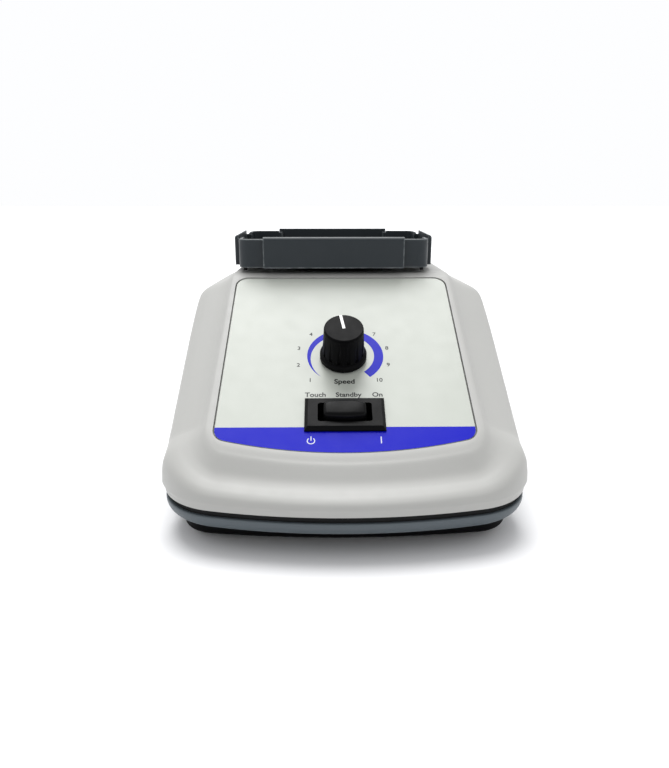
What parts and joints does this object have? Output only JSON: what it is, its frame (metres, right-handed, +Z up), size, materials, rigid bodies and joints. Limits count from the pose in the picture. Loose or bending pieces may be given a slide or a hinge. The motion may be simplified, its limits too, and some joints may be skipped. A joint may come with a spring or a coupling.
{
  "type": "vortex mixer",
  "caption": "Benchtop vortex mixer with an orbiting microplate tray, sloped panel with speed knob and three-position rocker.",
  "frame": {"origin": "middle of the object's box at the level of the surface it stands on", "axes": "+X to the user's right, +Y from the front towards the rear, +Z up"},
  "size_m": [0.2064, 0.27, 0.155],
  "materials": {
    "case_white": "fine moulded texture",
    "case_grey": "satin",
    "tray_slate": "fine moulded texture",
    "base_black": "semi-gloss powder coat",
    "rubber_black": "matte",
    "overlay_film": "satin printed film",
    "knob_black": "satin",
    "pointer_white": "satin",
    "switch_black": "semi-gloss",
    "steel": "machined",
    "lamination": "laminated",
    "copper": "enamelled winding",
    "bronze": "sintered",
    "plated_brass": "plated",
    "aluminium": "extruded",
    "board_green": "solder mask",
    "component_black": "moulded",
    "transformer_iron": "varnished",
    "capacitor_sleeve": "shrink sleeve",
    "fuse_glass": "clear",
    "terminal_green": "moulded",
    "lead_pvc": "insulation",
    "nylon": "natural"
  },
  "bodies": {
    "housing": {"top_shell": "case_white", "bottom_shell": "case_grey", "seam_gasket": "rubber_black", "base_plate": "base_black", "rubber_feet": "rubber_black", "case_screws": "steel", "base_screws": "steel", "control_overlay": "overlay_film", "pot_body": "component_black", "pot_nut": "steel", "switch_frame": "switch_black", "switch_base": "component_black", "switch_terminals": "plated_brass", "control_board": "board_green", "board_screws": "steel", "heatsink": "aluminium", "triac": "component_black", "transformer": "transformer_iron", "capacitors": "capacitor_sleeve", "fuse": "fuse_glass", "terminal_block": "terminal_green", "mains_leads": "lead_pvc", "motor_leads": "lead_pvc", "control_leads": "lead_pvc", "power_inlet": "component_black", "inlet_pins": "plated_brass", "inlet_screws": "steel", "stator_core": "lamination", "stator_coil": "copper", "upper_bracket": "steel", "lower_bracket": "steel", "sleeve_bearings": "bronze", "motor_bolts": "steel", "motor_isolators": "rubber_black", "motor_screws": "steel", "plunger_guide": "nylon", "press_switch": "component_black", "press_spring": "steel", "boot_ring": "rubber_black"},
    "plunger": {"thrust_cup": "nylon"},
    "rotor": {"motor_shaft": "steel", "rotor_core": "lamination", "cooling_fan": "nylon", "eccentric_hub": "steel", "hub_set_screw": "steel", "bearing_inner": "steel", "bearing_balls": "steel", "bearing_retainer": "steel"},
    "head": {"bearing_outer": "steel", "head_platform": "aluminium", "platform_screws": "steel", "tray": "tray_slate", "corner_bumpers": "rubber_black", "boot_skirt": "rubber_black"},
    "knob": {"knob_body": "knob_black", "knob_cap": "knob_black", "knob_pointer": "pointer_white", "pot_shaft": "steel"},
    "rocker": {"switch_rocker": "switch_black", "rocker_pin": "steel"}
  },
  "joints": [
    {"name": "tray_press", "type": "slide", "parent": "housing", "child": "plunger", "axis": [0, 0, -1], "range_m": [0, 0.0008], "stiffness_N_per_m": 4000, "springref_m": -0.004, "deforming": ["press_spring"]},
    {"name": "rotor_spin", "type": "hinge", "parent": "plunger", "child": "rotor", "pos_m": [-0.0025, 0.076, 0.1], "axis": [0, 0, 1], "continuous": true},
    {"name": "head_orbit", "type": "hinge", "parent": "rotor", "child": "head", "pos_m": [-0.00495, 0.076, 0.12], "axis": [0, 0, 1], "continuous": true},
    {"name": "knob_turn", "type": "hinge", "parent": "housing", "child": "knob", "pos_m": [0, -0.04614, 0.09191], "axis": [0, -0.5063, 0.8623], "range_deg": [-144, 126]},
    {"name": "rocker_tip", "type": "hinge", "parent": "housing", "child": "rocker", "pos_m": [0, -0.08245, 0.06132], "axis": [0, 0.8623, 0.5063], "range_deg": [-10, 10]}
  ],
  "couplings": [
    {"joint": "head_orbit", "follows": "rotor_spin", "ratio": -1}
  ]
}
